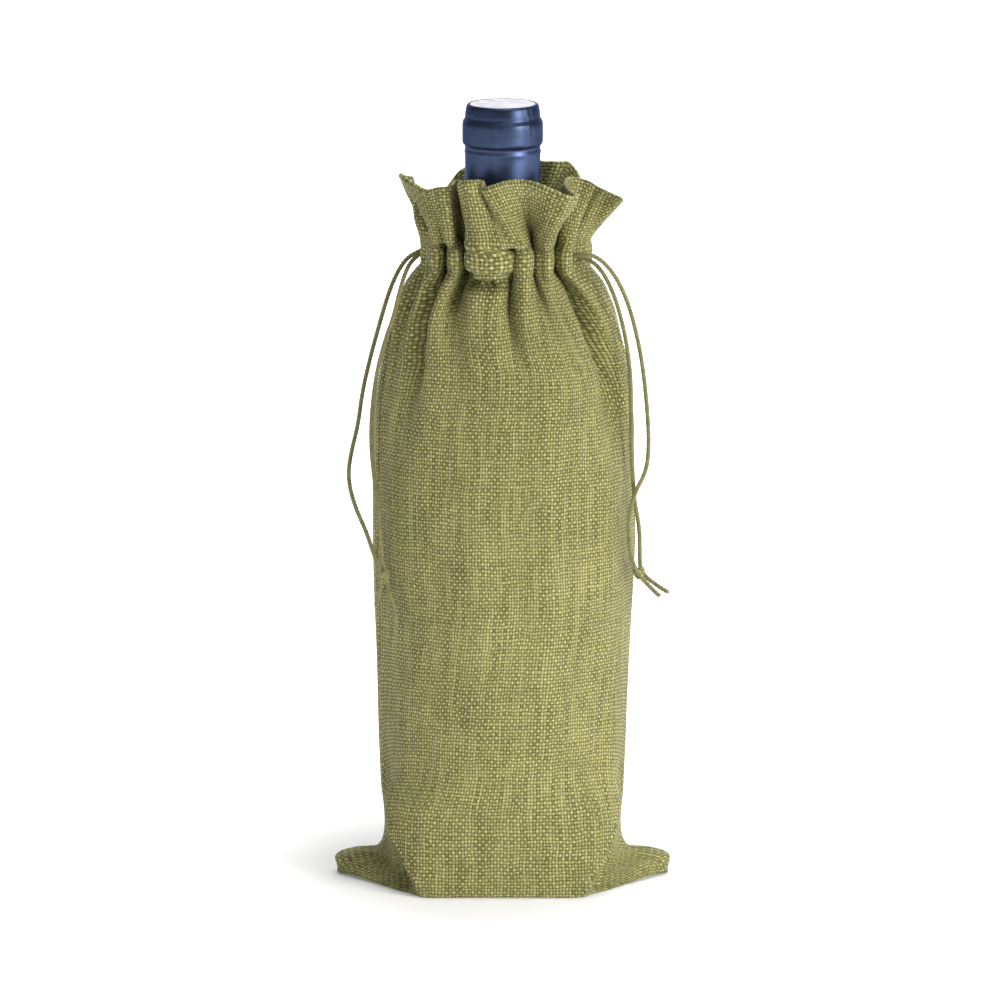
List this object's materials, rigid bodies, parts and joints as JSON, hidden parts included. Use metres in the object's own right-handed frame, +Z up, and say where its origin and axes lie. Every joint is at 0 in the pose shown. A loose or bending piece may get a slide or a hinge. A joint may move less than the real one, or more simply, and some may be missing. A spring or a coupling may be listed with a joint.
{
  "type": "wine gift bag",
  "caption": "Tall cloth drawstring gift bag standing closed round a corked wine bottle, with a gathered ruffle at its mouth and two knotted draw cords.",
  "frame": {"origin": "centre of the base, on the surface that the bag stands on", "axes": "+Z up, +X to the bag's right side seam as seen from the front, -Y out of the front panel"},
  "size_m": [0.132, 0.0782, 0.3],
  "materials": {
    "bag_cloth": "coarse plain-weave linen, olive green",
    "thread": "matte olive sewing thread",
    "cord": "twisted olive cotton cord",
    "bottle_glass": "dark green bottle glass",
    "wine": "dark red liquid",
    "cork": "natural cork",
    "capsule_foil": "satin dark blue foil",
    "capsule_top": "satin silver-blue foil"
  },
  "bodies": {
    "bag": {"front_panel": "bag_cloth", "back_panel": "bag_cloth", "front_neck": "bag_cloth", "back_neck": "bag_cloth", "left_side_seam_thread": "thread", "right_side_seam_thread": "thread", "bottom_seam_thread": "thread", "upper_channel_stitching": "thread", "lower_channel_stitching": "thread", "left_drawcord_in_channel": "cord", "right_drawcord_in_channel": "cord"},
    "left_loop": {"left_drawcord_front_strand": "cord", "left_drawcord_rear_strand": "cord", "left_knot": "cord"},
    "right_loop": {"right_drawcord_front_strand": "cord", "right_drawcord_rear_strand": "cord", "right_knot": "cord"},
    "bottle": {"bottle_glass": "bottle_glass", "wine": "wine", "cork": "cork", "capsule_sleeve": "capsule_foil", "capsule_top_disc": "capsule_top"}
  },
  "joints": [
    {"name": "bottle_lift", "type": "slide", "parent": "bag", "child": "bottle", "axis": [0, 0, 1], "range_m": [0, 0.3], "deforming": ["front_neck", "back_neck", "upper_channel_stitching", "lower_channel_stitching", "left_drawcord_in_channel", "right_drawcord_in_channel", "left_drawcord_front_strand", "left_drawcord_rear_strand", "right_drawcord_front_strand", "right_drawcord_rear_strand"]},
    {"name": "left_loop_swing", "type": "hinge", "parent": "bag", "child": "left_loop", "pos_m": [-0.0315, 0, 0.243], "axis": [0, 1, 0], "range_deg": [0, 90]},
    {"name": "right_loop_swing", "type": "hinge", "parent": "bag", "child": "right_loop", "pos_m": [0.0284, -0.0122, 0.2445], "axis": [0, -1, 0], "range_deg": [0, 90]}
  ]
}
